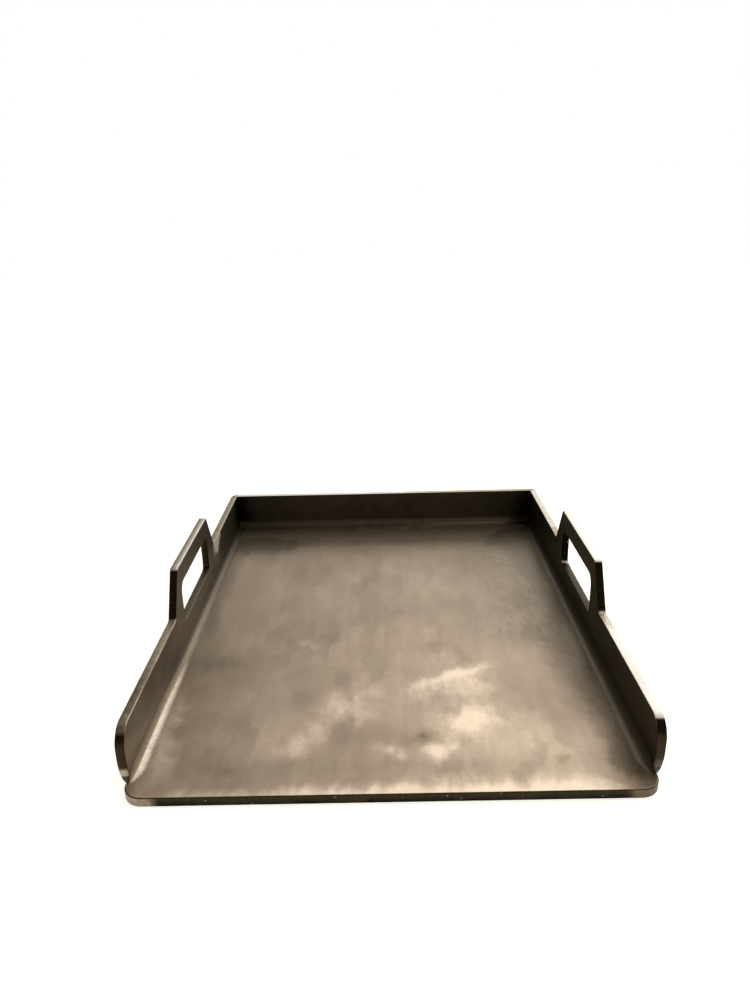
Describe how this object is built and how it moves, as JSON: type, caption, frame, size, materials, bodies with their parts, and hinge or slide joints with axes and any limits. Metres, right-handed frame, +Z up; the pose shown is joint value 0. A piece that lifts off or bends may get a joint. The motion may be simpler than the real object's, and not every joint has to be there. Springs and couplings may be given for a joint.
{
  "type": "camp griddle plate",
  "caption": "Open-fronted steel griddle tray with a flat cooking floor, low side and back walls, a front lip, and a slotted handle cut into each side wall, for use over a camp stove or fire.",
  "frame": {"origin": "middle of the underside of the bounding box, on the surface that the plate rests on", "axes": "+X to the right seen from the open front, +Y from the front lip to the back plate, +Z up"},
  "size_m": [0.311, 0.4054, 0.072],
  "materials": {
    "floor_steel": "bare hot-rolled plate, burnished to a warm satin grey-brown",
    "wall_steel": "bare hot-rolled plate with dark mill scale on its faces and brighter cut edges",
    "weld_steel": "weld metal dressed with an abrasive, satin and slightly grainy"
  },
  "bodies": {
    "root": {"base_plate": "floor_steel", "left_side_plate": "wall_steel", "right_side_plate": "wall_steel", "back_plate": "wall_steel", "left_seam_weld": "weld_steel", "right_seam_weld": "weld_steel", "back_seam_weld": "weld_steel", "rear_left_corner_weld": "weld_steel", "rear_right_corner_weld": "weld_steel"}
  },
  "joints": []
}
